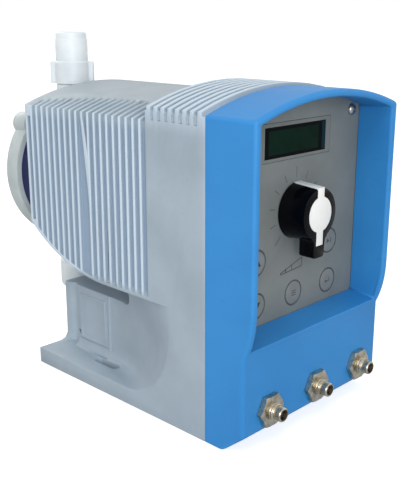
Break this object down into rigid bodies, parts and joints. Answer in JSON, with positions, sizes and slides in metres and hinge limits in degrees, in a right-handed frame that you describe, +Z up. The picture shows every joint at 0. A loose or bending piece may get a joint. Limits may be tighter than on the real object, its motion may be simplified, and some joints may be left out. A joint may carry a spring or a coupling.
{
  "type": "diaphragm metering pump",
  "caption": "Solenoid diaphragm dosing pump: finned grey housing on a slotted foot, blue hood with control panel and stroke knob, white liquid end with ball valves.",
  "frame": {"origin": "centre of the underside of the foot", "axes": "+Z up, -Y towards the control panel, +Y towards the liquid end, +X to the right seen from the panel"},
  "size_m": [0.16, 0.3096, 0.276],
  "materials": {
    "cast_grey": "satin",
    "hood_blue": "fine moulded grain",
    "panel_grey": "matt film on plate",
    "key_grey": "matt",
    "knob_black": "polished",
    "marker_white": "satin",
    "lcd_green": "clear window over dark green",
    "nickel_brass": "nickel plated",
    "screw_steel": "bright",
    "dark_steel": "turned",
    "bronze": "sintered",
    "copper": "enamelled winding",
    "rubber_black": "matt",
    "socket_black": "matt",
    "flange_navy": "moulded",
    "liquid_white": "machined, satin",
    "board_green": "solder resist",
    "seat_grey": "moulded",
    "ceramic": "polished ceramic"
  },
  "bodies": {
    "pump_body": {"drive_housing": "cast_grey", "hood_gasket": "rubber_black", "front_hood": "hood_blue", "control_panel": "panel_grey", "lcd_window": "lcd_green", "lcd_module": "lcd_green", "control_board": "board_green", "panel_screw_left": "screw_steel", "panel_screw_right": "screw_steel", "spindle_bush": "bronze", "socket_shell_left": "nickel_brass", "socket_shell_middle": "nickel_brass", "socket_shell_right": "nickel_brass", "socket_insert_left": "socket_black", "socket_insert_middle": "socket_black", "socket_insert_right": "socket_black", "power_board": "board_green", "magnet_can": "dark_steel", "magnet_cover": "dark_steel", "magnet_coil": "copper", "guide_sleeve": "bronze", "magnet_pole": "dark_steel", "rear_bush": "bronze", "return_spring": "screw_steel", "stop_guide": "bronze", "head_flange": "flange_navy", "diaphragm": "rubber_black", "pump_head": "liquid_white", "head_screw_upper_right": "screw_steel", "head_screw_upper_left": "screw_steel", "head_screw_lower_left": "screw_steel", "head_screw_lower_right": "screw_steel", "discharge_body": "liquid_white", "discharge_seal": "rubber_black", "discharge_seat": "seat_grey", "discharge_union": "liquid_white", "suction_body": "liquid_white", "suction_seal": "rubber_black", "suction_seat": "seat_grey", "suction_nut": "liquid_white"},
    "knob": {"stroke_knob": "knob_black", "knob_marker": "marker_white", "stroke_spindle": "screw_steel"},
    "stop": {"stroke_stop": "dark_steel"},
    "drive_rod": {"armature": "dark_steel", "push_rod": "screw_steel", "diaphragm_core": "seat_grey"},
    "key_up_button": {"key_up": "key_grey"},
    "key_down_button": {"key_down": "key_grey"},
    "key_menu_button": {"key_menu": "key_grey"},
    "key_enter_button": {"key_enter": "key_grey"},
    "key_start_button": {"key_start": "key_grey"},
    "discharge_valve_ball": {"discharge_ball": "ceramic"},
    "suction_valve_ball": {"suction_ball": "ceramic"},
    "bleed_valve": {"bleed_screw": "seat_grey"}
  },
  "joints": [
    {"name": "stroke_knob_turn", "type": "hinge", "parent": "pump_body", "child": "knob", "pos_m": [0, -0.1336, 0.157], "axis": [0, -1, 0], "range_deg": [-135, 135]},
    {"name": "stroke_stop_slide", "type": "slide", "parent": "pump_body", "child": "stop", "axis": [0, 1, 0], "range_m": [-0.0009, 0.0009]},
    {"name": "drive_rod_slide", "type": "slide", "parent": "pump_body", "child": "drive_rod", "axis": [0, 1, 0], "range_m": [0, 0.002], "stiffness_N_per_m": 4000, "springref_m": -0.004},
    {"name": "key_up_press", "type": "slide", "parent": "pump_body", "child": "key_up_button", "axis": [0, 1, 0], "range_m": [0, 0.0007], "stiffness_N_per_m": 800, "springref_m": -0.0005},
    {"name": "key_down_press", "type": "slide", "parent": "pump_body", "child": "key_down_button", "axis": [0, 1, 0], "range_m": [0, 0.0007], "stiffness_N_per_m": 800, "springref_m": -0.0005},
    {"name": "key_menu_press", "type": "slide", "parent": "pump_body", "child": "key_menu_button", "axis": [0, 1, 0], "range_m": [0, 0.0007], "stiffness_N_per_m": 800, "springref_m": -0.0005},
    {"name": "key_enter_press", "type": "slide", "parent": "pump_body", "child": "key_enter_button", "axis": [0, 1, 0], "range_m": [0, 0.0007], "stiffness_N_per_m": 800, "springref_m": -0.0005},
    {"name": "key_start_press", "type": "slide", "parent": "pump_body", "child": "key_start_button", "axis": [0, 1, 0], "range_m": [0, 0.0007], "stiffness_N_per_m": 800, "springref_m": -0.0005},
    {"name": "discharge_ball_lift", "type": "slide", "parent": "pump_body", "child": "discharge_valve_ball", "axis": [0, 0, 1], "range_m": [0, 0.002]},
    {"name": "suction_ball_lift", "type": "slide", "parent": "pump_body", "child": "suction_valve_ball", "axis": [0, 0, 1], "range_m": [0, 0.002]},
    {"name": "bleed_screw_turn", "type": "hinge", "parent": "pump_body", "child": "bleed_valve", "pos_m": [-0.04652, 0.157, 0.19948], "axis": [0, 1, 0], "range_deg": [0, 180]}
  ],
  "couplings": [
    {"joint": "stroke_knob_turn", "follows": "stroke_stop_slide", "rad_per_m": 2618}
  ]
}
